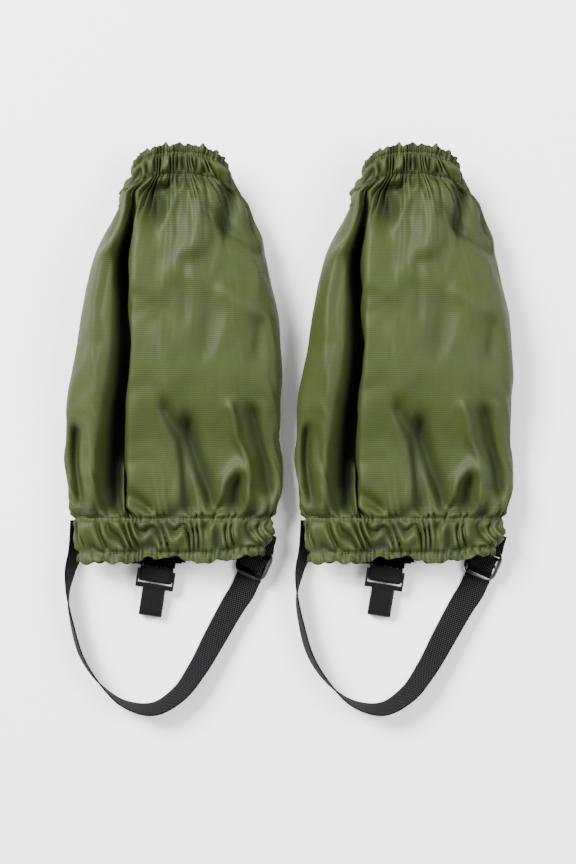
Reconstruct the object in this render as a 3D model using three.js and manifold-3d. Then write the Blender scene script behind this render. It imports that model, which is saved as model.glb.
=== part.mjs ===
// A pair of short ankle gaiters, lying on their backs with the cuffs relaxed.
// Millimetres, +X to the right, +Y from the shoe end to the calf end, +Z up.
import * as THREE from 'three';
import Module from 'manifold-3d';
import { mergeVertices } from 'three/addons/utils/BufferGeometryUtils.js';

const wasm = await Module();
wasm.setup();

// Sleeve, measured flat from the shoe hem (0) to the calf edge
const ankleHem = 9;
const ankleCasing = 31;
const bodyLength = 291;
const calfCasing = 19;
const calfFrill = 8;
const ankleWidth = 185;
const bellyWidth = 197;
const calfWidth = 102;
const ankleThick = 24;
const bodyThick = 60;
const calfThick = 48;
const ankleLift = 14;
const calfLean = 20;
const calfDrift = 6;
const frillFlare = 3;
const cloth = 1.2;
const sleeveSides = 36;

// The pair
const pairGap = 13;
const pairPitch = Math.max(bellyWidth, ankleWidth) + pairGap;

// Elastic bands in their casings
const elasticThick = 1.4;
const casingPlay = 0.5;
const casingMouth = 2;
const elasticEndPlay = 1.5;

// Back seam allowance
const seamWidth = 10;
const seamThick = 1;

// Webbing, stitching and the gap between neighbours
const webThick = 1.5;
const gap = 0.3;
const strapWidth = 25;
const tackThick = 0.6;

// Lace hook and its tab
const tabWidth = 30;
const tabX = -15;
const tabTurn = -9;
const tabDroop = 5;
const tabReach = 10.5;
const tabThick = 3;
const patchWidth = tabWidth + 20;
const patchDepth = 13;
const patchThick = 1.8;
const hookPlateWidth = tabWidth + 5;
const hookPlateThick = 2.4;
const hookBar = 3.4;
const hookSlot = 8.8;
const hookLowerBar = 4;
const hookBandWidth = 21;
const hookBandThick = 1.8;
const hookBandLength = 20;
const hookBend = 3.6;
const hookReturn = 14;

// Three-bar slider
const sliderAcross = 32;
const sliderAlong = 30;
const sliderThick = 3.2;
const sliderBar = 3.2;
const sliderRound = 9;
const sliderTilt = 23;
const sliderTurn = -24;
const sliderX = 73.5;
const sliderY = -0.5;
const sliderZ = 9;
const anchorLength = 14;
const anchorRise = 5;
const threadedTail = 2.6;
const strapLead = 8;

// Left sewn end of the instep strap
const sewnLength = 34;
const sewnStart = 4;
const sewnTilt = 60;
const sewnX = -87.6;
const strapOverlap = 8;

const calfStart = ankleHem + ankleCasing + bodyLength;
const sleeveLength = calfStart + calfCasing + calfFrill;
const facingDepth = cloth + 2 * casingPlay + elasticThick;
const radians = THREE.MathUtils.degToRad;
const lerp = THREE.MathUtils.lerp;

const fabric = new THREE.MeshStandardMaterial({ color: 0x6b7a42, roughness: 0.5, metalness: 0 });
const elastic = new THREE.MeshStandardMaterial({ color: 0x1b1b1c, roughness: 0.9, metalness: 0 });
const webbing = new THREE.MeshStandardMaterial({ color: 0x151516, roughness: 0.8, metalness: 0 });
const thread = new THREE.MeshStandardMaterial({ color: 0x0e0e0f, roughness: 0.7, metalness: 0 });
const nylon = new THREE.MeshStandardMaterial({ color: 0x121213, roughness: 0.3, metalness: 0 });

// ---- Solids from loops of points ----

function signedVolume(positions, faces) {
  let sum = 0;
  const [a, b, c] = [new THREE.Vector3(), new THREE.Vector3(), new THREE.Vector3()];
  for (let i = 0; i < faces.length; i += 3) {
    a.fromArray(positions, faces[i] * 3);
    b.fromArray(positions, faces[i + 1] * 3);
    c.fromArray(positions, faces[i + 2] * 3);
    sum += a.dot(b.cross(c));
  }
  return sum;
}

// Joins equal loops of points into one closed surface: capped at its two ends, or closed on itself.
function loft(loops, closed) {
  const around = loops[0].length;
  const positions = loops.flat().flatMap((p) => p.toArray());
  const faces = [];
  const steps = closed ? loops.length : loops.length - 1;
  for (let i = 0; i < steps; i++) {
    const here = i * around;
    const next = ((i + 1) % loops.length) * around;
    for (let j = 0; j < around; j++) {
      const k = (j + 1) % around;
      faces.push(here + j, here + k, next + k, here + j, next + k, next + j);
    }
  }
  if (!closed) {
    const last = (loops.length - 1) * around;
    for (let j = 1; j < around - 1; j++) {
      faces.push(0, j + 1, j, last, last + j, last + j + 1);
    }
  }
  if (signedVolume(positions, faces) < 0) faces.reverse();
  const geometry = new THREE.BufferGeometry();
  geometry.setAttribute('position', new THREE.Float32BufferAttribute(positions, 3));
  geometry.setIndex(faces);
  geometry.computeVertexNormals();
  return geometry;
}

function toSolid(geometry) {
  const bare = geometry.clone();
  bare.deleteAttribute('normal');
  bare.deleteAttribute('uv');
  const merged = mergeVertices(bare, 1e-4);
  const mesh = new wasm.Mesh({
    numProp: 3,
    vertProperties: new Float32Array(merged.attributes.position.array),
    triVerts: new Uint32Array(merged.index.array),
  });
  return new wasm.Manifold(mesh);
}

function fromSolid(solid) {
  const mesh = solid.getMesh();
  const geometry = new THREE.BufferGeometry();
  geometry.setAttribute('position', new THREE.BufferAttribute(mesh.vertProperties, 3));
  geometry.setIndex(new THREE.BufferAttribute(mesh.triVerts, 1));
  geometry.computeVertexNormals();
  return geometry;
}

// ---- Sleeve: a flattened tube of cloth with a folded casing at each end ----

function halfWidth(t) {
  const belly = 0.2;
  if (t < belly) return lerp(ankleWidth, bellyWidth, Math.sin((t / belly) * Math.PI / 2)) / 2;
  const bulge = (1 - ((t - belly) / (1 - belly)) ** 2.2) ** 0.7;
  return lerp(calfWidth, bellyWidth, bulge) / 2;
}

function thickness(t) {
  const fullest = 0.6;
  if (t < fullest) return lerp(ankleThick, bodyThick, Math.sin((t / fullest) * Math.PI / 2));
  return lerp(bodyThick, calfThick, ((t - fullest) / (1 - fullest)) ** 2);
}

// A point of the sleeve, `inset` inside its outer face, at `along` from the shoe hem.
function sleevePoint(along, inset, turn) {
  const t = THREE.MathUtils.clamp((along - ankleHem - ankleCasing) / bodyLength, 0, 1);
  const across = Math.cos(turn);
  const up = Math.sin(turn);
  const rise = up > 0 ? up ** 0.9 : -Math.min(1, 1.15 * (-up) ** 0.7);
  const half = thickness(t) / 2;
  const tip = (Math.max(0, t - 0.7) / 0.3) ** 2;
  const lean = calfLean * tip;
  const base = ankleLift * (1 - THREE.MathUtils.smoothstep(t, 0, 0.25)) + frillFlare * tip;
  const wide = halfWidth(t) - inset;
  return new THREE.Vector3(
    calfDrift * t * t + wide * Math.sign(across) * Math.abs(across) ** 0.85,
    along + lean * rise,
    base + half + (half - inset) * rise,
  );
}

// Turns a closed outline of [inset, along] round the sleeve.
function sleeveRing(outline) {
  const loops = outline.map(([inset, along]) => {
    const loop = [];
    for (let i = 0; i < sleeveSides; i++) loop.push(sleevePoint(along, inset, (i / sleeveSides) * 2 * Math.PI));
    return loop;
  });
  return loft(loops, true);
}

const bodyStations = [0.06, 0.13, 0.24, 0.4, 0.55, 0.69, 0.79, 0.87, 0.94];

function sleeveGeometry() {
  const body = bodyStations.map((t) => ankleHem + ankleCasing + t * bodyLength);
  const outside = [0, ankleHem, ankleHem + ankleCasing, ...body, calfStart, calfStart + calfCasing];
  const calfMouth = calfStart + casingMouth;
  const calfFold = calfStart + calfCasing;
  const ankleMouth = ankleHem + ankleCasing - casingMouth;
  return sleeveRing([
    ...outside.map((along) => [0, along]),
    [-frillFlare, sleeveLength],
    [2 * cloth - frillFlare, sleeveLength],
    [facingDepth + cloth, calfFold],
    [facingDepth + cloth, calfMouth],
    [facingDepth, calfMouth],
    [facingDepth, calfFold - cloth],
    [cloth, calfFold - cloth],
    [cloth, calfStart],
    ...body.reverse().map((along) => [cloth, along]),
    [cloth, ankleHem + ankleCasing],
    [cloth, ankleHem + cloth],
    [facingDepth, ankleHem + cloth],
    [facingDepth, ankleMouth],
    [facingDepth + cloth, ankleMouth],
    [facingDepth + cloth, ankleHem],
    [2 * cloth, 0],
  ]);
}

function elasticGeometry(from, casing) {
  const near = cloth + casingPlay;
  const far = near + elasticThick;
  const low = from + cloth + elasticEndPlay;
  const high = from + casing - cloth - elasticEndPlay;
  return sleeveRing([[near, low], [near, high], [far, high], [far, low]]);
}

// The seam allowance lies along the middle of the back, inside.
function seamGeometry() {
  const clear = 4;
  const first = ankleHem + ankleCasing + clear;
  const stops = bodyStations.map((t) => ankleHem + ankleCasing + t * bodyLength);
  const loops = [first, ...stops, calfStart - clear].map((along) => {
    const low = sleevePoint(along, cloth + gap, -Math.PI / 2);
    const high = low.z + seamThick;
    const half = seamWidth / 2;
    return [
      new THREE.Vector3(low.x - half, low.y, low.z),
      new THREE.Vector3(low.x + half, low.y, low.z),
      new THREE.Vector3(low.x + half, low.y, high),
      new THREE.Vector3(low.x - half, low.y, high),
    ];
  });
  return loft(loops, false);
}

// ---- Webbing bent in one plane: an outline in (y, z) pushed out along x ----

function acrossX(shape, width) {
  const geometry = new THREE.ExtrudeGeometry(shape, { depth: width, bevelEnabled: false, curveSegments: 8 });
  geometry.applyMatrix4(new THREE.Matrix4().set(0, 0, 1, -width / 2, 1, 0, 0, 0, 0, 1, 0, 0, 0, 0, 0, 1));
  return geometry;
}

// A strip of even thickness along a bent line of [y, z] points.
function stripShape(line, thick) {
  const points = line.map(([y, z]) => new THREE.Vector2(y, z));
  const sides = [[], []];
  points.forEach((point, i) => {
    const before = points[Math.max(0, i - 1)];
    const after = points[Math.min(points.length - 1, i + 1)];
    const into = point.clone().sub(before).normalize();
    const out = after.clone().sub(point).normalize();
    const way = into.clone().add(out).normalize();
    const normal = new THREE.Vector2(-way.y, way.x);
    const full = i === 0 ? 1 : Math.max(0.5, way.dot(into));
    const reach = thick / 2 / full;
    sides[0].push(point.clone().addScaledVector(normal, reach));
    sides[1].push(point.clone().addScaledVector(normal, -reach));
  });
  return new THREE.Shape([...sides[0], ...sides[1].reverse()]);
}

// Doubled webbing: a stem with a round end at `start`, opening into a loop about a bar at `bar`.
function loopShape(start, bar, inner, thick) {
  const outer = inner + webThick;
  const way = new THREE.Vector2().subVectors(bar, start);
  const reach = way.length();
  const heading = Math.atan2(way.y, way.x);
  const wide = Math.PI * 0.6;
  const shape = new THREE.Shape();
  const local = new THREE.Shape();
  local.absarc(0, 0, thick / 2, Math.PI / 2, Math.PI * 1.5, false);
  local.absarc(reach, 0, outer, -wide, wide, false);
  const eye = new THREE.Path();
  eye.moveTo(reach - inner * 1.25, 0);
  eye.lineTo(reach + inner * Math.cos(wide), -inner * Math.sin(wide));
  eye.absarc(reach, 0, inner, -wide, wide, false);
  const place = (p) => p.rotateAround(new THREE.Vector2(), heading).add(start);
  shape.setFromPoints(local.getPoints(8).map(place));
  shape.holes.push(new THREE.Path(eye.getPoints(8).map(place)));
  return shape;
}

// ---- Free webbing: a flat ribbon that follows a curve and rolls about it ----

function ribbonGeometry(stops, width, steps) {
  const curve = new THREE.CatmullRomCurve3(stops.map((s) => s.at), false, 'centripetal');
  const loops = [];
  for (let i = 0; i <= steps; i++) {
    const u = i / steps;
    const at = curve.getPoint(u);
    const way = curve.getTangent(u);
    const k = u * (stops.length - 1);
    const j = Math.min(stops.length - 2, Math.floor(k));
    const ease = THREE.MathUtils.smoothstep(k - j, 0, 1);
    const roll = radians(lerp(stops[j].roll, stops[j + 1].roll, ease));
    const outward = new THREE.Vector3(-way.y, way.x, 0).normalize();
    const lift = new THREE.Vector3().crossVectors(way, outward);
    const side = outward.multiplyScalar(Math.cos(roll)).addScaledVector(lift, Math.sin(roll));
    const face = new THREE.Vector3().crossVectors(way, side).normalize();
    const corner = (a, b) => at.clone().addScaledVector(side, (a * width) / 2).addScaledVector(face, (b * webThick) / 2);
    loops.push([corner(-1, -1), corner(1, -1), corner(1, 1), corner(-1, 1)]);
  }
  return loft(loops, false);
}

// ---- Lace hook: a flat loop plate with a band bent back under it ----

function rectangle(width, low, high) {
  const half = width / 2;
  return [[-half, low], [half, low], [half, high], [-half, high]].map(([x, y]) => new THREE.Vector2(x, y));
}

function hookGeometry() {
  const slotTop = -hookBar / 2;
  const slotEnd = slotTop - hookSlot;
  const plateEnd = slotEnd - hookLowerBar;
  const plate = new THREE.Shape(rectangle(hookPlateWidth, plateEnd, hookBar / 2));
  plate.holes.push(new THREE.Path(rectangle(tabWidth + 1.4, slotEnd, slotTop)));
  const flat = new THREE.ExtrudeGeometry(plate, { depth: hookPlateThick, bevelEnabled: false });
  flat.translate(0, 0, -hookPlateThick / 2);
  const bend = plateEnd - hookBandLength;
  const line = [[plateEnd + 1, 0], [bend, 0]];
  for (let i = 1; i < 8; i++) {
    const turn = (i / 8) * Math.PI;
    line.push([bend - hookBend * Math.sin(turn), -hookBend * (1 - Math.cos(turn))]);
  }
  line.push([bend, -2 * hookBend], [bend + hookReturn, -2 * hookBend]);
  const band = acrossX(stripShape(line, hookBandThick), hookBandWidth);
  return fromSolid(toSolid(flat).add(toSolid(band)));
}

// ---- Slider: a round-ended frame with a middle bar ----

function sliderGeometry() {
  const x = sliderAcross / 2;
  const y = sliderAlong / 2;
  const shape = new THREE.Shape();
  shape.absarc(x - sliderRound, y - sliderRound, sliderRound, 0, Math.PI / 2, false);
  shape.absarc(-x + sliderRound, y - sliderRound, sliderRound, Math.PI / 2, Math.PI, false);
  shape.absarc(-x + sliderRound, -y + sliderRound, sliderRound, Math.PI, Math.PI * 1.5, false);
  shape.absarc(x - sliderRound, -y + sliderRound, sliderRound, Math.PI * 1.5, Math.PI * 2, false);
  const slot = strapWidth + 1;
  shape.holes.push(new THREE.Path(rectangle(slot, sliderBar / 2, y - sliderBar)));
  shape.holes.push(new THREE.Path(rectangle(slot, -y + sliderBar, -sliderBar / 2)));
  const geometry = new THREE.ExtrudeGeometry(shape, { depth: sliderThick, bevelEnabled: false, curveSegments: 6 });
  geometry.translate(0, 0, -sliderThick / 2);
  return geometry;
}

// ---- One gaiter ----

const object = new THREE.Group();

function addGaiter(side, x) {
  const gaiter = new THREE.Group();
  gaiter.position.x = x;
  object.add(gaiter);
  const add = (name, geometry, material, parent = gaiter) => {
    const mesh = new THREE.Mesh(geometry, material);
    mesh.name = `${side}_${name}`;
    parent.add(mesh);
    return mesh;
  };

  add('sleeve', sleeveGeometry(), fabric);
  add('calf_elastic', elasticGeometry(calfStart, calfCasing), elastic);
  add('ankle_elastic', elasticGeometry(ankleHem, ankleCasing), elastic);
  add('back_seam', seamGeometry(), fabric);

  addHookTab(add, gaiter);
  const exit = addSlider(add, gaiter);
  addStrap(add, gaiter, exit);
}

function addHookTab(add, gaiter) {
  const patchZ = ankleLift - gap - patchThick / 2;
  const patch = add('hook_tab_patch', new THREE.BoxGeometry(patchWidth, patchDepth, patchThick), webbing);
  patch.position.set(tabX, patchDepth / 2 - gap, patchZ);
  const tack = add('hook_tab_stitches', new THREE.BoxGeometry(tabWidth - 4, patchDepth - 5, tackThick), thread);
  tack.position.set(tabX, patchDepth / 2, patchZ - patchThick / 2 - gap - tackThick / 2);

  const tab = new THREE.Group();
  const reachBack = tabThick / 2 + 2 * gap;
  tab.position.set(tabX, -reachBack - (tabWidth / 2) * Math.sin(radians(-tabTurn)), patchZ);
  tab.rotation.set(radians(tabDroop), 0, radians(tabTurn), 'ZYX');
  gaiter.add(tab);
  const eye = Math.hypot(hookBar, hookPlateThick) / 2 + gap + 0.25;
  const bar = new THREE.Vector2(-tabReach, 0);
  const loop = loopShape(new THREE.Vector2(0, 0), bar, eye, tabThick);
  add('hook_tab_webbing', acrossX(loop, tabWidth), webbing, tab);
  add('lace_hook', hookGeometry(), nylon, tab).position.y = -tabReach;
}

function addSlider(add, gaiter) {
  const frame = new THREE.Group();
  frame.position.set(sliderX, sliderY, sliderZ);
  frame.rotation.set(0, radians(-sliderTilt), radians(sliderTurn), 'ZYX');
  gaiter.add(frame);
  add('strap_slider', sliderGeometry(), nylon, frame);

  const end = sliderAlong / 2;
  const upperBar = new THREE.Vector2(end - sliderBar / 2, 0);
  const eye = Math.hypot(sliderBar, sliderThick) / 2 + gap + 0.25;
  const stem = new THREE.Vector2(end + anchorLength, anchorRise);
  add('slider_anchor', acrossX(loopShape(stem, upperBar, eye, 2 * webThick), strapWidth), webbing, frame);

  const under = -(sliderThick + webThick) / 2 - 2 * gap;
  const over = (sliderThick + webThick) / 2 + gap;
  const slot = (end - 1.5 * sliderBar) / 2;
  const middle = sliderBar / 2 + slot;
  const line = [
    [-end - threadedTail, under],
    [-middle - slot / 2 - 1.5, under],
    [-sliderBar / 2 - 2.9, over],
    [sliderBar / 2 + 2.4, over],
    [middle + 1.4, under],
  ];
  add('strap_threaded_end', acrossX(stripShape(line, webThick), strapWidth), webbing, frame);
  frame.updateMatrix();
  const beyond = -end - threadedTail - 3 * gap;
  return [0, strapLead].map((lead) => new THREE.Vector3(0, beyond - lead, under).applyMatrix4(frame.matrix));
}

function addStrap(add, gaiter, exit) {
  const tilt = radians(sewnTilt);
  const offset = webThick + gap;
  const rest = gap + (strapWidth / 2) * Math.sin(tilt) + (webThick / 2) * Math.cos(tilt);
  const patch = new THREE.Group();
  patch.position.set(sewnX, sewnStart + sewnLength / 2, rest + offset * Math.cos(tilt));
  patch.rotation.y = tilt;
  gaiter.add(patch);
  add('strap_sewn_end', new THREE.BoxGeometry(strapWidth, sewnLength, webThick), webbing, patch);
  const tackAt = add('strap_stitches', new THREE.BoxGeometry(strapWidth - 5, 3, tackThick), thread, patch);
  tackAt.position.set(0, sewnLength / 2 - 4, -(webThick + tackThick) / 2 - gap);

  const leftX = sewnX - offset * Math.sin(tilt);
  const stand = strapWidth / 2;
  const end = new THREE.Vector3(leftX, sewnStart + strapOverlap, rest);
  const foot = (x, y, roll) => {
    const a = radians(roll);
    const z = gap + stand * Math.abs(Math.sin(a)) + (webThick / 2) * Math.abs(Math.cos(a));
    return { at: new THREE.Vector3(x, y, z), roll };
  };
  const stops = [
    { at: exit[0], roll: sliderTilt },
    { at: exit[1], roll: sliderTilt },
    foot(55, -39, 28),
    foot(37, -71, 36),
    foot(22, -98, 46),
    foot(4, -122, 56),
    foot(-18, -135, 66),
    foot(-46, -130, 82),
    foot(-66, -114, 96),
    foot(-84, -88, 103),
    foot(-93, -58, 101),
    foot(-97, -32, 92),
    foot(-95, -10, 72),
    { at: end, roll: sewnTilt },
  ];
  add('instep_strap', ribbonGeometry(stops, strapWidth, 60), webbing);
}

addGaiter('left', -pairPitch / 2);
addGaiter('right', pairPitch / 2);

// The origin is under the middle of the pair's box, on the surface it lies on.
object.updateMatrixWorld(true);
const box = new THREE.Box3().setFromObject(object, true);
const centre = box.getCenter(new THREE.Vector3());
object.children.forEach((gaiter) => gaiter.position.sub(new THREE.Vector3(centre.x, centre.y, box.min.z)));
object.updateMatrixWorld(true);

export default object;
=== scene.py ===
import math
import random

import bmesh
import bpy
import numpy as np
from mathutils import Matrix, Vector


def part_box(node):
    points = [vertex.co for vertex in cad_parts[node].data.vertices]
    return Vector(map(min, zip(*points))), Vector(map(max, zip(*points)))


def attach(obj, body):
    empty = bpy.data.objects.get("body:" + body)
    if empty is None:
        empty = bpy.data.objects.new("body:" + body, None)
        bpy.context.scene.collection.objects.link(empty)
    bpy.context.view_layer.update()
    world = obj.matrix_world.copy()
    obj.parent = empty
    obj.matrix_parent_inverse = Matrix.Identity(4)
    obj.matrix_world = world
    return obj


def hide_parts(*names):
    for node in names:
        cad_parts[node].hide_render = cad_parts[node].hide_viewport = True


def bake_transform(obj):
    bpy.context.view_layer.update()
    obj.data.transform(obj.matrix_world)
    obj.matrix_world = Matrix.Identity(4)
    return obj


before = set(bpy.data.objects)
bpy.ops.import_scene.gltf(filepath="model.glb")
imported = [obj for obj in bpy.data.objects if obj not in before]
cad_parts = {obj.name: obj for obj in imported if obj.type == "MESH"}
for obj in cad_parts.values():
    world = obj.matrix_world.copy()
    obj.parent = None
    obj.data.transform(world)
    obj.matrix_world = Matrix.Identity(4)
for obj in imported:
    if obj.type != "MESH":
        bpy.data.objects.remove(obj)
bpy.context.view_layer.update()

mm = 0.001

# ---- Camera, floor and light ----
# The pair lies on a pale table, seen from straight above with the calf ends up, under
# broad soft lights with a slightly stronger one above and to the right.

camera_height = 2.21
camera = bpy.data.objects.new("camera", bpy.data.cameras.new("camera"))
camera.data.lens = 100
camera.data.sensor_width = 36
camera.location = (0, 0, camera_height)
bpy.context.scene.collection.objects.link(camera)
bpy.context.scene.camera = camera


class Wire:
    """A value at a node's socket. Arithmetic on it adds Math nodes."""

    def __init__(self, finish, socket):
        self.finish, self.socket = finish, socket

    def __add__(self, other):
        return self.finish.maths("ADD", self, other)

    def __sub__(self, other):
        return self.finish.maths("SUBTRACT", self, other)

    def __rsub__(self, other):
        return self.finish.maths("SUBTRACT", other, self)

    def __mul__(self, other):
        return self.finish.maths("MULTIPLY", self, other)

    __radd__ = __add__
    __rmul__ = __mul__


class Finish:
    """One material: a Principled shader and the nodes that feed it."""

    def __init__(self, name, constants):
        self.material = bpy.data.materials.new(name)
        self.material.use_nodes = True
        self.tree = self.material.node_tree
        self.shader = self.tree.nodes["Principled BSDF"]
        for socket, value in constants.items():
            self.shader.inputs[socket].default_value = value

    def feed(self, socket, value):
        if isinstance(value, Wire):
            self.tree.links.new(value.socket, socket)
        else:
            socket.default_value = value

    def node(self, kind, settings, inputs, output=0):
        made = self.tree.nodes.new(kind)
        for key, value in settings.items():
            setattr(made, key, value)
        for key, value in inputs.items():
            self.feed(made.inputs[key], value)
        return Wire(self, made.outputs[output])

    def maths(self, operation, a, b=0.0):
        return self.node("ShaderNodeMath", {"operation": operation}, {0: a, 1: b})

    def mix(self, share, a, b):
        return self.node("ShaderNodeMix", {"data_type": "RGBA"}, {0: share, 6: a, 7: b}, 2)

    def noise(self, where, scale, detail=3.0):
        inputs = {"Vector": where, "Scale": scale, "Detail": detail}
        return self.node("ShaderNodeTexNoise", {}, inputs)

    def place(self, output):
        return self.node("ShaderNodeTexCoord", {}, {}, output)

    def flat(self, axis):
        """One axis of the piece's UV map, which is in metres over the cloth."""
        return self.node("ShaderNodeSeparateXYZ", {}, {0: self.place("UV")}, axis)

    def bump(self, height, distance, strength=1.0):
        inputs = {"Height": height, "Distance": distance, "Strength": strength}
        self.feed(self.shader.inputs["Normal"], self.node("ShaderNodeBump", {}, inputs))

    def paint(self, socket, value):
        self.feed(self.shader.inputs[socket], value)


def colour(red, green, blue):
    """A colour given as it looks on a screen, 0 to 255."""
    return tuple((c / 255) ** 2.2 for c in (red, green, blue)) + (1.0,)


def new_object(name, mesh):
    made = bpy.data.objects.new(name, mesh)
    bpy.context.scene.collection.objects.link(made)
    return made


table_size = 6.0
table_mesh = bpy.data.meshes.new("table")
table_form = bmesh.new()
bmesh.ops.create_grid(table_form, x_segments=1, y_segments=1, size=table_size / 2)
table_form.to_mesh(table_mesh)
table_form.free()
table = new_object("table", table_mesh)
table.location.z = -0.0002
paper = Finish("table_paper", {"Roughness": 0.9, "Specular IOR Level": 0.1})
grain = paper.noise(paper.place("Object"), 90.0)
paper.paint("Base Color", paper.mix(grain, colour(250, 250, 250), colour(253, 253, 253)))
table.data.materials.append(paper.material)

world = bpy.data.worlds.new("studio")
bpy.context.scene.world = world
world.use_nodes = True
world.node_tree.nodes["Background"].inputs["Color"].default_value = (1, 1, 1, 1)
world.node_tree.nodes["Background"].inputs["Strength"].default_value = 0.75

for name, place, size, watts in (
    ("key_light", (-1.9, 1.6, 2.4), 1.5, 450),
    ("fill_light", (2.3, 0.3, 2.6), 1.8, 165),
):
    lamp = bpy.data.lights.new(name, "AREA")
    lamp.size, lamp.energy = size, watts
    lamp_object = bpy.data.objects.new(name, lamp)
    lamp_object.location = place
    lamp_object.rotation_euler = Vector(place).to_track_quat("Z", "Y").to_euler()
    bpy.context.scene.collection.objects.link(lamp_object)

# ---- Where each gaiter lies ----
# Both gaiters are made alike. Every piece is shaped once, in millimetres from the middle
# of the shoe hem, and laid down twice.

sides = ("left", "right")
tab_x = -15.0
gaiter_at = {}
for side in sides:
    low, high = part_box(side + "_hook_tab_patch")
    gaiter_at[side] = Vector(((low.x + high.x) / 2 - tab_x * mm, low.y + 0.3 * mm, 0))


def lay_down(name, form, material, body, stands_for=()):
    """Makes a piece of each gaiter from a form in millimetres."""
    made = []
    for side in sides:
        mesh = bpy.data.meshes.new(side + "_" + name)
        form.to_mesh(mesh)
        mesh.transform(Matrix.Translation(gaiter_at[side]) @ Matrix.Scale(mm, 4))
        mesh.shade_smooth()
        mesh.materials.append(material)
        piece = new_object(side + "_" + name, mesh)
        if isinstance(body, str):
            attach(piece, side + "_" + body)
        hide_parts(*[side + "_" + node for node in stands_for])
        made.append(piece)
    form.free()
    return made


# ---- Sleeve ----
# A tube of thin ribbed polyester with a coated, slightly shiny face, closed by a seam at
# the back. Each end is turned in and stitched twice into a casing, and the elastic in it
# gathers the cloth into pleats and leaves a short frill.

ankle_hem, ankle_gather, calf_gather, calf_second, calf_edge = 9.0, 40.0, 331.0, 350.0, 358.0
body_length = calf_gather - ankle_gather
ankle_width, belly_width, calf_width = 185.0, 197.0, 102.0
ankle_thick, body_thick, calf_thick = 24.0, 60.0, 48.0
ankle_lift, calf_lean, calf_drift, frill_flare = 14.0, 20.0, 6.0, 3.0
cloth = 0.35
hem_inset = 3.4
pleat_count = 31
columns = 300


def ease(x, low, high):
    x = np.clip((x - low) / (high - low), 0, 1)
    return x * x * (3 - 2 * x)


def sleeve_base(along, inset, turn):
    """The plain flattened tube, before pleats and folds: arrays of x, y, z and rise."""
    t = np.clip((along - ankle_gather) / body_length, 0, 1)
    lower = ankle_width + (belly_width - ankle_width) * np.sin(np.minimum(t / 0.2, 1) * math.pi / 2)
    bulge = (1 - (np.clip((t - 0.2) / 0.8, 0, 1)) ** 2.2) ** 0.7
    upper = calf_width + (belly_width - calf_width) * bulge
    half_width = np.where(t < 0.2, lower, upper) / 2
    swell = ankle_thick + (body_thick - ankle_thick) * np.sin(np.minimum(t / 0.6, 1) * math.pi / 2)
    flatten = body_thick + (calf_thick - body_thick) * np.clip((t - 0.6) / 0.4, 0, 1) ** 2
    half = np.where(t < 0.6, swell, flatten) / 2
    across, up = np.cos(turn), np.sin(turn)
    rise = np.where(up > 0, np.abs(up) ** 0.9, -np.minimum(1, 1.15 * np.abs(up) ** 0.7))
    tip = (np.maximum(0, t - 0.7) / 0.3) ** 2
    base = ankle_lift * (1 - ease(t, 0, 0.25)) + frill_flare * tip
    x = calf_drift * t * t + (half_width - inset) * np.sign(across) * np.abs(across) ** 0.85
    y = along + calf_lean * tip * rise
    z = base + half + (half - inset) * rise
    return x, y, z, rise


def wavy(turn, seed, waves):
    """A smooth random wave round the sleeve, about -1 to 1."""
    draw = random.Random(seed)
    total = 0
    for k in waves:
        total = total + math.sqrt(2 / len(waves)) * draw.uniform(0.6, 1.2) * np.cos(
            k * turn + draw.uniform(0, 2 * math.pi)
        )
    return total


def pleats(round_share, along, count, lean, seed, wiggle=0.3, reach=11.0):
    """Rounded pleats with sharp valleys between, 0 to 1."""
    turn = 2 * math.pi * round_share
    waves = [k for k in range(2, max(5, count // 2))][:: max(1, count // 14)]
    phase = count * round_share + 0.55 * wavy(turn, seed, waves) + lean * along
    phase = phase + wiggle * np.sin(along / reach + 3 * turn + seed)
    height = np.abs(np.sin(math.pi * phase)) ** 0.85
    return height * (0.8 + 0.2 * wavy(turn + along / 70, seed + 7, [5, 9, 13]))


def beside(x, y, line):
    """How far each point is from a line of points, plus on the right-hand side, seen from
    above, of a line that runs towards the hem; and how far along the line it is."""
    near = np.full(x.shape, 1e9)
    way = np.zeros(x.shape)
    points = np.array(line, float)
    lengths = np.hypot(*(points[1:] - points[:-1]).T)
    total, done = lengths.sum(), 0.0
    for (ax, ay), (bx, by), length in zip(points[:-1], points[1:], lengths):
        dx, dy = (bx - ax) / length, (by - ay) / length
        s = np.clip((x - ax) * dx + (y - ay) * dy, 0, length)
        px, py = x - ax - s * dx, y - ay - s * dy
        gap = np.hypot(px, py)
        side = np.where(dx * (y - ay) - dy * (x - ax) >= 0, 1.0, -1.0)
        closer = gap < np.abs(near)
        near = np.where(closer, side * gap, near)
        way = np.where(closer, (done + s) / total, way)
        done += length
    return near, way


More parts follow.
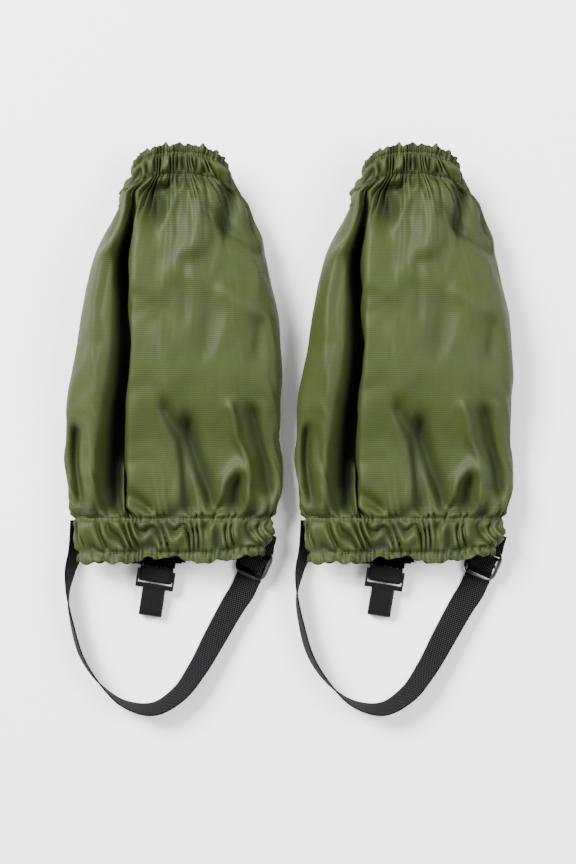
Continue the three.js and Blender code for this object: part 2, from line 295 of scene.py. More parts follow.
# The folds of the front: a line, how high (plus) or deep (minus), and how far it
# spreads to its left and to its right.
front_folds = (
    ([(-60, 287), (-71, 240), (-74, 198), (-70, 157), (-69, 117), (-71, 90), (-76, 45)], 5, 9, 9),
    ([(-42, 332), (-50, 312), (-60, 287)], 5, 7, 7),
    ([(-87, 120), (-89, 90), (-87, 60)], -9, 4, 4),
    ([(-51, 322), (-60, 289), (-69, 286)], -4, 3, 3),
    ([(-44, 86), (-45, 60), (-44, 45)], 17, 4, 4),
    ([(-17, 338), (-14, 318)], -12, 12, 10),
    ([(-8, 306), (-1, 320), (8, 338), (14, 352)], 4, 4, 5),
    ([(-1, 347), (-5, 338)], -5, 4, 4),
    ([(27, 345), (26, 325), (18, 285)], 6, 9, 12),
    ([(62, 450), (68, 300)], -6, 6, 8),
    ([(-26, 340), (-25, 300), (-24, 250)], 3, 6, 7),
    ([(76, 300), (84, 262)], -4, 5, 6),
    ([(46, 346), (43, 303)], -8, 4, 10),
    ([(28, 318), (43, 303), (57, 292), (74, 281), (84, 284)], -4.5, 4, 4),
    ([(12, 262), (50, 242), (89, 218)], 3.5, 14, 12),
    ([(12, 268), (12, 225)], -3, 6, 6),
    ([(34, 250), (30, 195)], -4, 12, 10),
    ([(78, 216), (76, 190)], -3.5, 7, 7),
    ([(-7, 140), (7, 111), (14, 47)], -6.5, 4, 7),
    ([(12, 124), (21, 90), (36, 50)], -10, 5, 8),
    ([(52, 142), (58, 114), (67, 88)], 5, 4, 4),
    ([(37, 50), (46, 74), (57, 87), (66, 80), (65, 47)], 6, 4, 4),
    ([(55, 72), (54, 52)], -8, 7, 7),
    ([(72, 136), (79, 105), (84, 66)], -8, 6, 5),
    ([(-37, 63), (-29, 60), (-18, 43)], -6, 3, 3),
    ([(-12, 210), (-4, 170), (2, 140)], 2.5, 10, 10),
)
panel_edge = [(-33, 345), (-33, 300), (-34, 250), (-35, 200), (-36, 157), (-37, 117), (-38, 60), (-39, 40)]
valley_depth, valley_reach, lip_shift, lip_rise = 34.0, (8.0, 13.0, 18.0, 26.0), 10.0, 3.0


def fold_front(x, y, z, front):
    """Pushes the front of the sleeve into its long overhanging fold and its creases; how far each point sank
    is returned, 0 to 1, as a mask of painted shade.
    """
    near, way = beside(x, y, panel_edge)
    reach = np.interp(way, [0, 0.15, 0.6, 1], valley_reach)
    depth = valley_depth * np.interp(way, [0, 0.1, 0.2, 0.9, 1], [0.1, 0.45, 1, 1, 0.5])
    hollow = np.where(near < 0, np.exp(-np.abs(near / reach) ** 3.5), np.exp(-(near / 4.5) ** 2))
    move_z = -depth * hollow
    lip = np.exp(-(((near - 6) / 6.5) ** 2))
    strong = np.interp(way, [0, 0.12, 1], [0.3, 1, 1])
    move_z = move_z + lip_rise * lip * strong
    move_x = -lip_shift * lip * strong
    for line, height, left, right in front_folds:
        gap, _ = beside(x, y, line)
        spread = np.where(gap < 0, left, right)
        move_z = move_z + 1.5 * height * np.exp(-(np.abs(gap) / spread) ** 1.6)
    room = z - 4.0
    move_z = np.maximum(move_z * front, -room)
    return x + move_x * front, z + move_z, np.clip(-move_z / 24, 0, 1)


# How far each side is taken in or let out at a height, so that the outline is uneven.
take_in_left = (
    (5, 6), (18, 5), (32, 1), (60, 2), (100, 0), (140, 0), (170, 3), (198, 4.5), (211, 4),
    (240, 3), (267, 1), (280, 2), (295, 6), (308, 9), (322, 9), (336, 0), (350, 14), (363, 18), (377, 22),
)
let_out_right = (
    (5, -9), (18, -7), (32, -8), (46, 2), (60, 4), (87, 4), (110, 1), (200, 1), (225, 3),
    (253, 2), (280, 3), (294, 7), (308, 5), (322, 8), (336, 4), (350, -4), (363, -13), (377, -8),
)

# Rows of the sheet: up the inner hem, round the edge, along the outside and in again.
hem_rows = [(a, hem_inset) for a in np.arange(43, 0.5, -3.0)]
outer_rows = [(0, 0.0), (0.8, 0)] + [(a, 0) for a in np.arange(2.5, 50, 1.75)]
outer_rows += [(a, 0) for a in np.arange(51, 318, 3.7)]
outer_rows += [(a, 0) for a in np.arange(319.5, 357.5, 1.6)] + [(calf_edge, 0)]
calf_rows = [(a, hem_inset) for a in np.arange(356, 325, -3.0)]
rows = hem_rows + [(0.0, hem_inset / 2)] + outer_rows + [(calf_edge, hem_inset / 2)] + calf_rows
row_along = np.array([r[0] for r in rows], float)[:, None]
row_inset = np.array([r[1] for r in rows], float)[:, None]

# Columns are closer together where the long fold is sharp.
fine = np.linspace(-math.pi / 2, 1.5 * math.pi, 4001)
fx, _, fz, _ = sleeve_base(np.array(120.0), np.array(0.0), fine)
step = np.hypot(np.diff(fx), np.diff(fz))
arc = np.concatenate([[0], np.cumsum(step)])
middle = (fx[1:] + fx[:-1]) / 2
crowd = step * (1 + 1.8 * np.exp(-(((middle + 34) / 12) ** 2)) * (np.sin(fine[1:]) > 0.2))
crowded = np.concatenate([[0], np.cumsum(crowd)])
column_turn = np.interp(np.linspace(0, crowded[-1], columns + 1), crowded, fine)[None, :]
column_share = np.interp(column_turn, fine, arc / arc[-1])

x, y, z, rise = sleeve_base(row_along, row_inset, column_turn)
slope_x, slope_z = np.gradient(x, axis=1), np.gradient(z, axis=1)
slope = np.hypot(slope_x, slope_z)
out_x, out_z = slope_z / slope, -slope_x / slope
outwards = out_x * (x - x.mean()) + out_z * (z - z.mean(axis=1, keepdims=True))
sign = np.sign(outwards.sum(axis=1, keepdims=True))
out_x, out_z = out_x * sign, out_z * sign

a = row_along
lines = (ankle_hem, ankle_gather, calf_gather, calf_second)
pinch = sum(np.exp(-(((a - line) / 2.2) ** 2)) for line in lines)
in_ankle = np.sin(math.pi * np.clip((a - ankle_hem) / (ankle_gather - ankle_hem), 0, 1)) ** 0.6
in_calf = np.sin(math.pi * np.clip((a - calf_gather) / (calf_second - calf_gather), 0, 1)) ** 0.6
above_ankle = np.where(a > ankle_gather, np.exp(-np.abs(a - ankle_gather) / 14), 0)
below_calf = np.where(a < calf_gather, np.exp(-np.abs(calf_gather - a) / 18), 0)
frill = np.where(a < ankle_hem, (ankle_hem - a) / 9, 0) + np.where(a > calf_second, (a - calf_second) / 8, 0)
fine_height = 10.5 * in_ankle + 8.0 * in_calf + 7.5 * above_ankle + 8.0 * below_calf + 3.0 * frill + 0.8
fine_height = fine_height * (1 - 0.72 * np.clip(pinch, 0, 1))
wide_height = 4.5 * np.exp(-np.abs(a - ankle_gather) / 55) * (a > ankle_gather)
wide_height = wide_height + 4.5 * np.exp(-np.abs(calf_gather - a) / 60) * (a < calf_gather)
wide_height = wide_height * (1 - 0.55 * ease(rise, 0.1, 0.5))
leaning = np.where(a < 150, -0.034, -0.014)
small = pleats(column_share, a, pleat_count, leaning, 3) - 0.62
wide = pleats(column_share, a, 15, 0.004, 11, 0.12, 45.0) - 0.6
long_wave = wavy(2 * math.pi * column_share + a / 210, 5, [3, 5, 8])
body_part = np.clip(np.sin(math.pi * np.clip((a - ankle_gather) / body_length, 0, 1)), 0, 1)
tight_height = 3.2 * sum(np.exp(-(((a - line) / 4.5) ** 2)) for line in lines) + 3.2 * frill
tight = pleats(column_share, a, 78, 0.012, 31) - 0.6
push = tight_height * tight + fine_height * small + wide_height * wide + 0.8 * body_part * long_wave
push = push - 2.4 * np.clip(pinch, 0, 1) + 1.5 * (in_ankle + in_calf)
push = push * np.where(row_inset > 0, 0.75, 1)
low_side = ease(rise, -1.0, -0.2)
push = push * (0.3 + 0.7 * low_side)
x, z = x + push * out_x, z + push * out_z
front = ease(rise, 0.12, 0.5) * (a > ankle_gather) * (a < calf_gather)
front = front * ease(a, ankle_gather, ankle_gather + 12) * (1 - ease(a, calf_gather - 10, calf_gather))
x, z, hollow = fold_front(x, y, z, front)
# How far each point sank into the long fold, and how far it lies in a pleat valley, make a mask of painted
# shade that darkens the cloth's colour there.
pleat_strength = np.clip(fine_height / 9, 0, 1)
crease_shade = np.clip(1 - (small + 0.62) * 1.7, 0, 1) * pleat_strength
crease_shade = np.maximum(crease_shade, np.clip(1 - (tight + 0.6) * 1.8, 0, 1) * np.clip(tight_height / 4, 0, 0.8))
hollow = np.maximum(hollow, crease_shade)
tab_window = np.exp(-(((x + 8) / 24) ** 4)) * np.clip((ankle_hem - a) / 9, 0, 1)
y = y + 5.0 * tab_window + 1.3 * frill * wavy(2 * math.pi * column_share, 21, [11, 17, 29])
y = y + 6.5 * ease(x, 30, 85) * (1 - ease(a, 0, 30))
take_in = np.where(
    x < 0,
    np.interp(y, *zip(*take_in_left)) * np.clip(-x / 90, 0, 1),
    np.interp(y, *zip(*let_out_right)) * np.clip(x / 90, 0, 1),
)
x = x + take_in
z = np.maximum(z, 0.5)
sleeve_points = np.stack([x, y, z], axis=2)
outer_first = len(hem_rows) + 1
outer_along = np.array([r[0] for r in outer_rows], float)
outer_points = sleeve_points[outer_first : outer_first + len(outer_rows)]


def sheet_form(points, u, v, shade=None):
    """A bmesh grid moved onto points[row, column], with u and v in metres as its UV map
    and shade, where given, as an attribute of painted shade that says how far into a fold a point lies."""
    form = bmesh.new()
    height, width = points.shape[:2]
    bmesh.ops.create_grid(form, x_segments=width - 1, y_segments=height - 1, size=1)
    uv = form.loops.layers.uv.new("cloth")
    painted_shade = form.verts.layers.float.new("painted_shade") if shade is not None else None
    places = {}
    for vert in form.verts:
        column = round((vert.co.x + 1) / 2 * (width - 1))
        row = round((vert.co.y + 1) / 2 * (height - 1))
        places[vert.index] = (row, column)
        vert.co = points[row, column]
        if shade is not None:
            vert[painted_shade] = shade[row, column]
    for face in form.faces:
        for loop in face.loops:
            row, column = places[loop.vert.index]
            loop[uv].uv = (u[row, column] * mm, v[row, column] * mm)
    return form


row_steps = np.hypot(np.diff(row_along[:, 0]), np.diff(row_inset[:, 0]))
path_length = np.concatenate([[0], np.cumsum(row_steps)])
sleeve_u = np.broadcast_to(column_share * arc[-1], x.shape)
sleeve_v = np.broadcast_to(path_length[:, None], x.shape)
sleeve_form = sheet_form(sleeve_points, sleeve_u, sleeve_v, hollow)
bmesh.ops.remove_doubles(sleeve_form, verts=sleeve_form.verts, dist=1e-4)
bmesh.ops.recalc_face_normals(sleeve_form, faces=sleeve_form.faces)
bottom_face = min(sleeve_form.faces, key=lambda f: (f.calc_center_median().z, f.index))
if bottom_face.normal.z > 0:
    bmesh.ops.reverse_faces(sleeve_form, faces=sleeve_form.faces)

# The body of the sleeve settles as cloth between its two casings, which are held.
settle_frames, settle_slack, settle_cap = 9, 0.007, 6.0
settle_mesh = bpy.data.meshes.new("settling")
sleeve_form.to_mesh(settle_mesh)
settle_mesh.transform(Matrix.Scale(mm, 4))
settling = new_object("settling", settle_mesh)
group = settling.vertex_groups.new(name="held")
start = np.array([v.co for v in sleeve_form.verts])
for k, height in enumerate(start[:, 1]):
    inside = min(height - ankle_gather, calf_gather + calf_lean - 6 - height)
    group.add([k], 1.0 - 0.97 * float(ease(np.array(inside), 0, 16)), "REPLACE")
modifier = settling.modifiers.new("settle", "CLOTH")
settings = modifier.settings
settings.quality, settings.mass = 6, 0.15
settings.tension_stiffness = settings.compression_stiffness = 30
settings.shear_stiffness, settings.bending_stiffness = 12, 1.5
settings.tension_damping = settings.compression_damping = 12
settings.vertex_group_mass, settings.pin_stiffness = "held", 12
settings.shrink_min = settings.shrink_max = -settle_slack
settings.effector_weights.gravity = 0
modifier.point_cache.frame_start, modifier.point_cache.frame_end = 1, settle_frames
for step in range(1, settle_frames + 1):
    bpy.context.scene.frame_set(step)
eased = settling.evaluated_get(bpy.context.evaluated_depsgraph_get())
after = np.array([v.co for v in eased.data.vertices]) / mm
moved = after - start
far = np.linalg.norm(moved, axis=1)[:, None]
moved = moved * np.minimum(1, settle_cap / np.maximum(far, 1e-9))
for vert, at in zip(sleeve_form.verts, start + moved):
    vert.co = (at[0], at[1], max(at[2], 0.5))
bpy.data.objects.remove(settling)
bpy.context.scene.frame_set(1)
free_cloth = [v for v in sleeve_form.verts if ankle_gather + 5 < v.co.y < calf_gather - 8]
for _ in range(3):
    bmesh.ops.smooth_vert(
        sleeve_form, verts=free_cloth, factor=0.5, use_axis_x=True, use_axis_y=True, use_axis_z=True
    )

coated = Finish("sleeve_cloth", {"Sheen Weight": 0.0, "Specular IOR Level": 0.22})
rib_pitch, thread_pitch = 1.7 * mm, 0.8 * mm
around, along = coated.flat(0), coated.flat(1)
ribs = coated.maths("SINE", along * (2 * math.pi / rib_pitch))
threads = coated.maths("SINE", around * (2 * math.pi / thread_pitch))
cloud = coated.noise(coated.place("Object"), 22.0)
speck = coated.noise(coated.place("Object"), 900.0, 1.0)
# Painted shade: the fold attribute darkens the green towards near black in the folds and pleat valleys,
# where shade falls; it also roughens the cloth there.
painted_shade = coated.node("ShaderNodeAttribute", {"attribute_name": "painted_shade"}, {}, 2)
green = coated.mix(cloud, colour(38, 44, 16), colour(46, 53, 22))
# The ribs' own pattern, lightened on their crests as a painted highlight.
green = coated.mix((ribs + 1) * 0.08, green, colour(80, 92, 46))
coated.paint("Base Color", coated.mix(painted_shade * 0.86, green, colour(13, 17, 7)))
coated.paint("Roughness", cloud * 0.12 + speck * 0.06 + painted_shade * 0.25 + 0.5)
coated.bump(ribs * 0.6 + threads * 0.25 + cloud * 1.5 + speck * 0.4, 0.00009, 0.7)

sleeves = lay_down("sleeve_cloth", sleeve_form, coated.material, "gaiter", ["sleeve"])
for sleeve in sleeves:
    wall = sleeve.modifiers.new("cloth", "SOLIDIFY")
    wall.thickness, wall.offset = cloth * mm, -1

# ---- Elastic bands ----
# Flat woven elastic, drawn up to the size of the leg and shut in each casing, where it
# gathers the cloth. A real one runs straight round; this one follows the pleats, and its declared
# length is the drawn band's own area over its width, not a length it was cut to. Its length is worked
# out as the drawn band's own area over its width, not a length it was cut to, and is not used.

elastic_finish = Finish("elastic_band", {"Roughness": 0.8, "Sheen Weight": 0.2})
cross = elastic_finish.maths("SINE", elastic_finish.flat(0) * (2 * math.pi / (1.4 * mm)))
length = elastic_finish.maths("SINE", elastic_finish.flat(1) * (2 * math.pi / (0.9 * mm)))
fluff = elastic_finish.noise(elastic_finish.place("Object"), 600.0)
elastic_finish.paint("Base Color", elastic_finish.mix(fluff, colour(16, 17, 14), colour(34, 36, 30)))
elastic_finish.bump(cross * 0.6 + length * 0.4, 0.0002)
elastic_margin, elastic_inward, elastic_thick = 3.0, 2.3, 0.5

for name, first, last in (
    ("ankle_elastic", ankle_hem, ankle_gather),
    ("calf_elastic", calf_gather, calf_second),
):
    band_rows = np.linspace(first + elastic_margin, last - elastic_margin, 9)
    band = []
    for height in band_rows:
        above = np.searchsorted(outer_along, height)
        share = (height - outer_along[above - 1]) / (outer_along[above] - outer_along[above - 1])
        outer = outer_points[above - 1] * (1 - share) + outer_points[above] * share
        way = np.stack([out_x[outer_first + above], 0 * out_x[0], out_z[outer_first + above]], axis=1)
        band.append(outer - elastic_inward * way)
    band = np.array(band)
    band_u = np.broadcast_to(column_share * arc[-1], band.shape[:2])
    band_v = np.broadcast_to(band_rows[:, None], band.shape[:2])
    form = sheet_form(band, band_u, band_v)
    bmesh.ops.remove_doubles(form, verts=form.verts, dist=1e-4)
    bmesh.ops.recalc_face_normals(form, faces=form.faces)
    band_width = last - first - 2 * elastic_margin
    band_area = sum(f.calc_area() for f in form.faces)
    for piece in lay_down(name + "_band", form, elastic_finish.material, "gaiter", [name]):
        wall = piece.modifiers.new("elastic", "SOLIDIFY")
        wall.thickness, wall.offset = elastic_thick * mm, 0
        band_width * mm
        band_area / band_width * mm

# ---- Webbing ----
# Black woven webbing: a 25 mm instep strap, the 30 mm hook tab and the slider's loop. The
# weave shows as rows of small raised picks, with a firmer edge on each side.


def smooth_path(stops, count):
    """A smooth curve through the stops, count + 1 evenly spaced rows of it."""
    stops = np.array(stops, float)
    at = np.concatenate([[0], np.cumsum(np.linalg.norm(np.diff(stops[:, :3], axis=0), axis=1))])
    slopes = np.gradient(stops, at, axis=0)
    wanted = np.linspace(0, at[-1], count + 1)
    k = np.clip(np.searchsorted(at, wanted, side="right") - 1, 0, len(at) - 2)
    gap = (at[k + 1] - at[k])[:, None]
    s = ((wanted - at[k]) / gap[:, 0])[:, None]
    return (
        stops[k] * (1 + 2 * s) * (1 - s) ** 2
        + slopes[k] * gap * s * (1 - s) ** 2
        + stops[k + 1] * s * s * (3 - 2 * s)
        + slopes[k + 1] * gap * s * s * (s - 1)
    )


def webbing_form(middle, side, width, thick, across=12):
    """A woven ribbon along middle points, with side the direction across it: a closed
    form with raised edges."""
    edge = 0.06 * thick
    steps = np.linspace(-0.5, 0.5, across + 1)
    way = np.gradient(middle, axis=0)
    way /= np.linalg.norm(way, axis=1)[:, None]
    face = np.cross(way, side)
    face /= np.linalg.norm(face, axis=1)[:, None]
    run = np.concatenate([[0], np.cumsum(np.linalg.norm(np.diff(middle, axis=0), axis=1))])
    swell = thick / 2 * (1 - 0.75 * (np.abs(steps) * 2) ** 14) + edge * (np.abs(steps) > 0.42)
    ring = [(s, h) for s, h in zip(steps, swell)] + [(s, -h) for s, h in zip(steps[::-1], swell[::-1])]
    ring.append(ring[0])
    points = np.array(
        [[m + d * s * width + f * h for s, h in ring] for m, d, f in zip(middle, side, face)]
    )
    around = np.array([s * width for s, _ in ring])
    u = np.broadcast_to(around[None, :], points.shape[:2])
    v = np.broadcast_to(run[:, None], points.shape[:2])
    form = sheet_form(points, u, v)
    bmesh.ops.remove_doubles(form, verts=form.verts, dist=1e-4)
    for end in (points[0], points[-1]):
        near = {tuple(np.round(p, 3)) for p in end}
        rim = [e for e in form.edges if e.is_boundary]
        edges = [e for e in rim if all(tuple(np.round(v.co, 3)) in near for v in e.verts)]
        bmesh.ops.contextual_create(form, geom=edges)
    bmesh.ops.recalc_face_normals(form, faces=form.faces)
    return form, run[-1]


weave = Finish("webbing", {"Sheen Weight": 0.0, "Specular IOR Level": 0.05})
pick = 2.6 * mm
weave_u, weave_v = weave.flat(0), weave.flat(1)
rows_of_picks = weave.maths("SINE", weave_v * (2 * math.pi / pick))
warp_threads = weave.maths("SINE", weave_u * (2 * math.pi / (2.5 * mm)))
picks = weave.maths("MAXIMUM", rows_of_picks * warp_threads, 0.0)
dust = weave.noise(weave.place("Object"), 120.0)
black_cloth = weave.mix(dust, colour(1, 1, 1), colour(3, 3, 3))
# The raised picks are painted lighter grey on the black weave: a painted highlight where light catches them.
weave.paint("Base Color", weave.mix(picks * 0.6, black_cloth, colour(70, 70, 72)))
weave.paint("Roughness", 0.8 - picks * 0.25)
weave.bump(picks + dust * 0.2, 0.00025)

web_thick, strap_width, gap = 1.5, 25.0, 0.3
slider_at, slider_tilt, slider_turn = Vector((73.5, -0.5, 9.0)), 23.0, -24.0
slider_frame = (
    Matrix.Translation(slider_at)
    @ Matrix.Rotation(math.radians(slider_turn), 4, "Z")
    @ Matrix.Rotation(math.radians(-slider_tilt), 4, "Y")
)
slider_along, slider_bar, slider_thick = 30.0, 3.2, 3.2
under = -(slider_thick + web_thick) / 2 - 2 * gap
over = (slider_thick + web_thick) / 2 + gap
strap_start = -slider_along / 2 - 2.6 - 3 * gap


def foot(x, y, roll):
    """A stop of the strap where its lower edge rests on the table."""
    turn = math.radians(roll)
    lift = gap + strap_width / 2 * abs(math.sin(turn)) + web_thick / 2 * abs(math.cos(turn))
    return (x, y, lift, roll)


sewn_tilt, sewn_x, sewn_start, sewn_length = 60.0, -87.6, 4.0, 34.0
tilt = math.radians(sewn_tilt)
sewn_rest = gap + strap_width / 2 * math.sin(tilt) + web_thick / 2 * math.cos(tilt)
over_under = web_thick + gap
stops = [tuple(slider_frame @ Vector((0, strap_start - lead, under))) + (slider_tilt,) for lead in (0, 8)]
stops += [foot(*stop) for stop in (
    (55, -39, 28), (37, -71, 36), (22, -98, 46), (4, -122, 56), (-18, -135, 66),
    (-46, -130, 82), (-66, -114, 96), (-84, -88, 103), (-93, -58, 101), (-97, -32, 92), (-95, -10, 72),
)]
sewn_low = (sewn_x - over_under * math.sin(tilt), sewn_start + 8.0, sewn_rest, sewn_tilt)
sewn_middle = (sewn_x - 0.6, 24.0, sewn_rest + 0.5, sewn_tilt)
stops += [sewn_low, sewn_middle, (sewn_x, sewn_start + sewn_length, sewn_rest + 0.9, sewn_tilt)]
path = smooth_path(stops, 330)
strap_middle, strap_roll = path[:, :3], np.radians(path[:, 3])
strap_way = np.gradient(strap_middle, axis=0)
strap_way[:, 2] = 0
strap_way /= np.linalg.norm(strap_way, axis=1)[:, None]
outward = np.stack([-strap_way[:, 1], strap_way[:, 0], 0 * strap_roll], axis=1)
upward = np.array([0.0, 0.0, 1.0])
strap_side = outward * np.cos(strap_roll)[:, None] + upward * np.sin(strap_roll)[:, None]
form, strap_length = webbing_form(strap_middle, strap_side, strap_width, web_thick, 16)
strap_nodes = ["instep_strap", "strap_sewn_end"]
straps = lay_down("strap", form, weave.material, None, strap_nodes)
for side, piece in zip(sides, straps):
    first = gaiter_at[side] + Vector((0, 8, 0)) * mm
    last = gaiter_at[side] + Vector((0, -34, 0)) * mm
    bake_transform(piece)


def bent_webbing(line, width, placing, count=60):
    """Webbing that follows a bent line of (y, z) stops in a frame of its own."""
    middle = smooth_path([(0, y, z) for y, z in line], count)
    placed = np.array([placing @ Vector(p) for p in middle])
    side = np.tile(np.array(placing.to_3x3() @ Vector((1, 0, 0))), (len(middle), 1))
    return webbing_form(placed, side, width, web_thick)


def loop_line(start, bar, eye, thick):
    """A doubled line of webbing from start, once round a bar and back: (y, z) stops."""
    way = np.array(bar, float) - np.array(start, float)
    reach = np.linalg.norm(way)
    way /= reach
    normal = np.array([-way[1], way[0]])
    radius, half = eye + web_thick / 2, thick / 2 - web_thick / 2
    line = [np.array(start) + way * reach * s + normal * (half + 0.12) for s in (0, 0.25, 0.5)]
    line += [
        np.array(bar) + radius * (-way * math.cos(turn) + normal * math.sin(turn))
        for turn in np.linspace(math.radians(62), math.radians(298), 13)
    ]
    line += [np.array(start) + way * reach * s - normal * (half + 0.12) for s in (0.5, 0.25, 0)]
    return line


slot_length = (slider_along / 2 - 1.5 * slider_bar) / 2
slot_middle = slider_bar / 2 + slot_length
tail = [
    (strap_start, under),
    (-slot_middle - slot_length / 2 - 1.5, under),
    (-slider_bar / 2 - 2.9, over),
    (0, over + 0.15),
    (slider_bar / 2 + 2.4, over),
    (slot_middle + 1.4, under),
]
form, tail_length = bent_webbing(tail, strap_width, slider_frame)
for piece in lay_down("strap_tail", form, weave.material, "slider", ["strap_threaded_end"]):
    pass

upper_bar = (slider_along / 2 - slider_bar / 2, 0)
anchor_eye = math.hypot(slider_bar, slider_thick) / 2 + gap + 0.25
anchor_line = loop_line((slider_along / 2 + 14, 5), upper_bar, anchor_eye, 2 * web_thick)
form, anchor_length = bent_webbing(anchor_line, strap_width, slider_frame)
for piece in lay_down("slider_loop", form, weave.material, "gaiter", ["slider_anchor"]):
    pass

# ---- Hook tab ----
# 30 mm webbing folded round the hook's bar and sewn under the shoe hem, over a backing
# tape whose cut edges are left ragged and are tacked down with black thread.

tab_width, tab_turn, tab_droop, tab_reach = 30.0, -9.0, 5.0, 10.5
patch_width, patch_depth, patch_thick = 50.0, 13.0, 1.8
patch_z = ankle_lift - gap - patch_thick / 2
tab_y = -(3.0 / 2 + 2 * gap) - tab_width / 2 * math.sin(math.radians(-tab_turn))
tab_frame = (
    Matrix.Translation((tab_x, tab_y, patch_z))
    @ Matrix.Rotation(math.radians(tab_turn), 4, "Z")
    @ Matrix.Rotation(math.radians(tab_droop), 4, "X")
)
hook_plate_thick, tab_top_gap = 2.4, -3.4
plate_top, slot_top, slot_low, plate_low = 6.9, -2.6, -6.0, -10.4
face = hook_plate_thick / 2 + 0.35 + web_thick / 2
tab_line = [(-0.5, 0.87), (-1.8, 1.1), (tab_top_gap, face), (-tab_reach + 2, face + 0.1)]
tab_line += [(-tab_reach + slot_top + 0.6, face - 0.1), (-tab_reach + slot_top - 1.15, 0.6)]
tab_line += [(-tab_reach + slot_top - 1.15, -0.6), (-tab_reach + slot_top + 0.6, -face + 0.1)]
tab_line += [(-tab_reach + 2, -face - 0.1), (tab_top_gap, -face), (-1.8, -1.1), (-0.5, -0.87)]
form, tab_length = bent_webbing(tab_line, tab_width, tab_frame, 90)
tabs = lay_down("hook_tab", form, weave.material, None, ["hook_tab_webbing"])
for side, piece in zip(sides, tabs):
    first = gaiter_at[side] + tab_frame @ Vector((0, -0.6, 0)) * mm
    last = gaiter_at[side] + tab_frame @ Vector((0, tab_top_gap, 0)) * mm
    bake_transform(piece)

ragged = random.Random(41)
tape = bmesh.new()
bmesh.ops.create_grid(tape, x_segments=60, y_segments=14, size=0.5)
for vert in tape.verts:
    px, share = vert.co.x * patch_width, vert.co.y + 0.5
    under_tab = abs(px) < tab_width / 2 + 1
    cut = 4.3 + 0.158 * px + ragged.uniform(-0.5, 0.7) if under_tab else ragged.uniform(0.3, 2.4)
    low = -0.3 - cut
    vert.co = Vector((tab_x + px, low + share * (patch_depth - 0.3 - low), patch_z))
tape_area = sum(f.calc_area() for f in tape.faces)
tapes = lay_down("hook_tab_tape", tape, weave.material, None, ["hook_tab_patch"])
for side, piece in zip(sides, tapes):
    first = gaiter_at[side] + tab_frame @ Vector((0, 5.5, 0)) * mm
    last = gaiter_at[side] + tab_frame @ Vector((0, 1.0, 0)) * mm
    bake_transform(piece)
    wall = piece.modifiers.new("tape", "SOLIDIFY")
    wall.thickness, wall.offset = patch_thick * mm, 0
    tape_area / patch_width * mm

# ---- Stitches ----
# Bar tacks in black thread hold the hook tab and the strap's end; a green thread of the
# cloth's own colour runs round both casings.


def stitch(form, middle, way, length, thick):
    """One stitch: a short rounded bar lying along way."""
    made = bmesh.ops.create_icosphere(form, subdivisions=1, radius=0.5)
    turn = Vector(way).to_track_quat("X", "Z").to_matrix().to_4x4()
    shape = Matrix.Translation(middle) @ turn @ Matrix.Diagonal((length, thick, thick, 1))
    bmesh.ops.transform(form, matrix=shape, verts=made["verts"])


def thread_finish(name, dark, light):
    finish = Finish(name, {"Sheen Weight": 0.3})
    twist = finish.noise(finish.place("Object"), 1800.0, 1.0)
    finish.paint("Base Color", finish.mix(twist, dark, light))
    finish.paint("Roughness", twist * 0.2 + 0.5)
    finish.bump(twist, 0.0001)
    return finish.material


black_thread = thread_finish("black_thread", colour(12, 12, 13), colour(34, 34, 36))
green_thread = thread_finish("green_thread", colour(36, 45, 16), colour(52, 62, 26))

thread_thick = 0.5
tacks = bmesh.new()
for row in range(4):
    for k in range(26):
        at = (tab_x - 13 + k * 1.04, 3.5 + row * 2.4, patch_z - patch_thick / 2 - 0.45)
        stitch(tacks, at, (0.5, 0.9 - 1.8 * (k % 2), 0), 2.4, thread_thick)
lay_down("hook_tab_tacks", tacks, black_thread, "gaiter", ["hook_tab_stitches"])

strap_tacks = bmesh.new()
tack_at = (sewn_x, sewn_start + sewn_length - 4, sewn_rest + 0.9)
strap_turn = Matrix.Translation(tack_at) @ Matrix.Rotation(tilt, 4, "Y")
for k in range(20):
    at = strap_turn @ Vector((-10 + k * 1.05, 0.9 - 1.8 * (k % 2), -web_thick / 2 - 0.5))
    way = strap_turn.to_3x3() @ Vector((1, 0.8 - 1.6 * (k % 2), 0))
    stitch(strap_tacks, at, way, 2.2, thread_thick)
lay_down("strap_tacks", strap_tacks, black_thread, "gaiter", ["strap_stitches"])

seams = bmesh.new()
for height in (ankle_hem, ankle_gather, calf_gather, calf_second):
    row = int(np.argmin(np.abs(outer_along - height)))
    ring = outer_points[row]
    run = np.concatenate([[0], np.cumsum(np.linalg.norm(np.diff(ring, axis=0), axis=1))])
    for at in np.arange(0, run[-1], 3.4):
        k = min(int(np.searchsorted(run, at)), len(ring) - 2)
        out = np.array([out_x[outer_first + row, k], 0, out_z[outer_first + row, k]])
        stitch(seams, ring[k] + out * 0.15, ring[k + 1] - ring[k - 1], 2.3, thread_thick)
lay_down("casing_stitches", seams, green_thread, "gaiter")

# ---- Back seam ----
# The sleeve's long seam: its two raw edges, overlocked together, lie flat inside the back.
# It is 10 mm wide, and is declared just over that, the least that a sheet may be.

seam_rows = np.linspace(ankle_gather + 6, calf_gather - 6, 120)
seam = []
for height in seam_rows:
    row = int(np.argmin(np.abs(outer_along - height)))
    low = outer_points[row, 0]
    wave = 0.7 * math.sin(height / 6.0)
    lift = low[2] + cloth + 0.3
    seam.append(
        [(low[0] + s * 10 - 5 + wave, low[1], lift + 0.5 * s + 0.2 * wave) for s in np.linspace(0, 1, 7)]
    )
seam = np.array(seam)
seam_u = np.broadcast_to(np.linspace(0, 10, 7)[None, :], seam.shape[:2])
seam_v = np.broadcast_to(seam_rows[:, None], seam.shape[:2])
form = sheet_form(seam, seam_u, seam_v)
for piece in lay_down("back_seam_edge", form, coated.material, "gaiter", ["back_seam"]):
    wall = piece.modifiers.new("cloth", "SOLIDIFY")
    wall.thickness, wall.offset = 0.7 * mm, 1

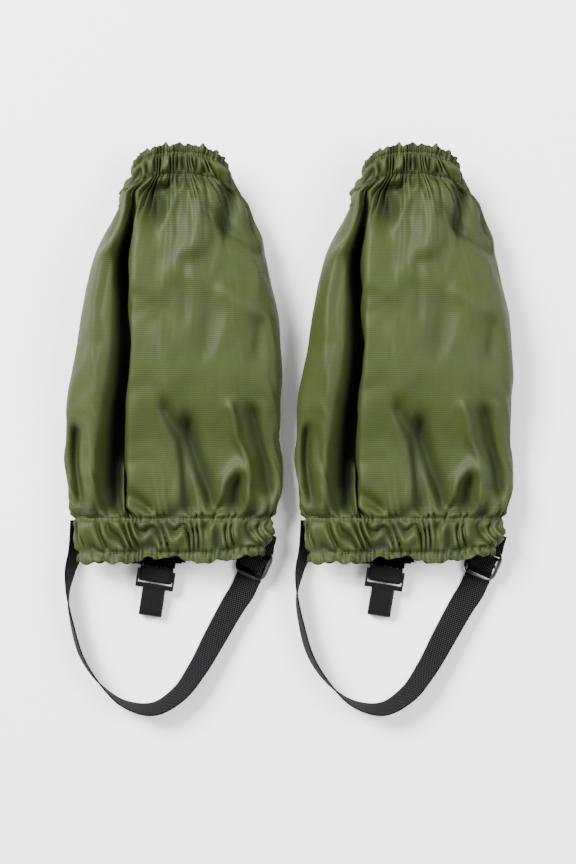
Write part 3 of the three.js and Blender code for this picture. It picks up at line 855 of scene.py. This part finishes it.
# ---- Lace hook and slider ----
# Moulded black nylon with a soft gloss and rounded edges. The hook is a slotted plate with
# a band bent back under it; the slider is a round-ended frame with a bar across.

nylon = Finish("black_nylon", {"Specular IOR Level": 0.35})
haze = nylon.noise(nylon.place("Object"), 260.0)
nylon.paint("Base Color", nylon.mix(haze, colour(5, 5, 6), colour(11, 11, 12)))
nylon.paint("Roughness", haze * 0.16 + 0.2)
nylon.bump(haze, 0.00005, 0.5)

hook_frame = tab_frame @ Matrix.Translation((0, -tab_reach, 0))


def slotted_plate(form, outline, slots, thick, placing):
    """A flat plate with square slots: outline and slots are (x0, y0, x1, y1)."""
    across = sorted({outline[0], outline[2], *[s[0] for s in slots], *[s[2] for s in slots]})
    along = sorted({outline[1], outline[3], *[s[1] for s in slots], *[s[3] for s in slots]})
    made = bmesh.ops.create_grid(form, x_segments=len(across) - 1, y_segments=len(along) - 1, size=1)
    for vert in made["verts"]:
        i = round((vert.co.x + 1) / 2 * (len(across) - 1))
        j = round((vert.co.y + 1) / 2 * (len(along) - 1))
        vert.co = Vector((across[i], along[j], 0))
    holes = []
    for face in form.faces:
        c = face.calc_center_median()
        if any(s[0] < c.x < s[2] and s[1] < c.y < s[3] for s in slots):
            holes.append(face)
    bmesh.ops.delete(form, geom=holes, context="FACES")
    faces = form.faces[:]
    bmesh.ops.recalc_face_normals(form, faces=faces)
    bmesh.ops.solidify(form, geom=faces, thickness=thick)
    middle = sum(v.co.z for v in form.verts if v.link_faces) / len(form.verts)
    bmesh.ops.transform(form, matrix=placing @ Matrix.Translation((0, 0, -middle)), verts=form.verts)


def round_off(piece, width):
    rounded = piece.modifiers.new("rounded", "BEVEL")
    rounded.width, rounded.segments, rounded.limit_method = width * mm, 3, "ANGLE"
    rounded.angle_limit = math.radians(40)


plate_wide, slot_wide, band_wide, band_thick = 35.0, 31.4, 21.0, 1.8
bend_y, bend_radius, return_y = -32.5, 3.6, -20.0
hook_form = bmesh.new()
half = plate_wide / 2
slot = (-slot_wide / 2, slot_low, slot_wide / 2, slot_top)
slotted_plate(hook_form, (-half, plate_low, half, plate_top), [slot], hook_plate_thick, hook_frame)
line = [(plate_low + 1, 0), (-18, 0.1), (-26, 0.1), (bend_y, 0)]
line += [
    (bend_y - bend_radius * math.sin(turn), -bend_radius * (1 - math.cos(turn)))
    for turn in np.linspace(0.3, math.pi - 0.3, 7)
]
line += [(bend_y, -2 * bend_radius), (-26, -2 * bend_radius), (return_y, -2 * bend_radius)]
middle = smooth_path([(0, y, z) for y, z in line], 70)
placed = np.array([hook_frame @ Vector(p) for p in middle])
side_way = np.tile(np.array(hook_frame.to_3x3() @ Vector((1, 0, 0))), (len(middle), 1))
band_form, _ = webbing_form(placed, side_way, band_wide, band_thick)
band_mesh = bpy.data.meshes.new("band")
band_form.to_mesh(band_mesh)
band_form.free()
hook_form.from_mesh(band_mesh)
for piece in lay_down("moulded_hook", hook_form, nylon.material, "hook", ["lace_hook"]):
    round_off(piece, 0.6)

for side in sides:
    form = bmesh.new()
    form.from_mesh(bpy.data.objects[side + "_strap_slider"].data)
    bmesh.ops.remove_doubles(form, verts=form.verts, dist=1e-6)
    bmesh.ops.dissolve_limit(form, angle_limit=math.radians(1), verts=form.verts, edges=form.edges)
    mesh = bpy.data.meshes.new(side + "_moulded_slider")
    form.to_mesh(mesh)
    form.free()
    mesh.shade_smooth()
    mesh.materials.append(nylon.material)
    piece = new_object(side + "_moulded_slider", mesh)
    round_off(piece, 0.7)
    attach(piece, side + "_slider")
    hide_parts(side + "_strap_slider")
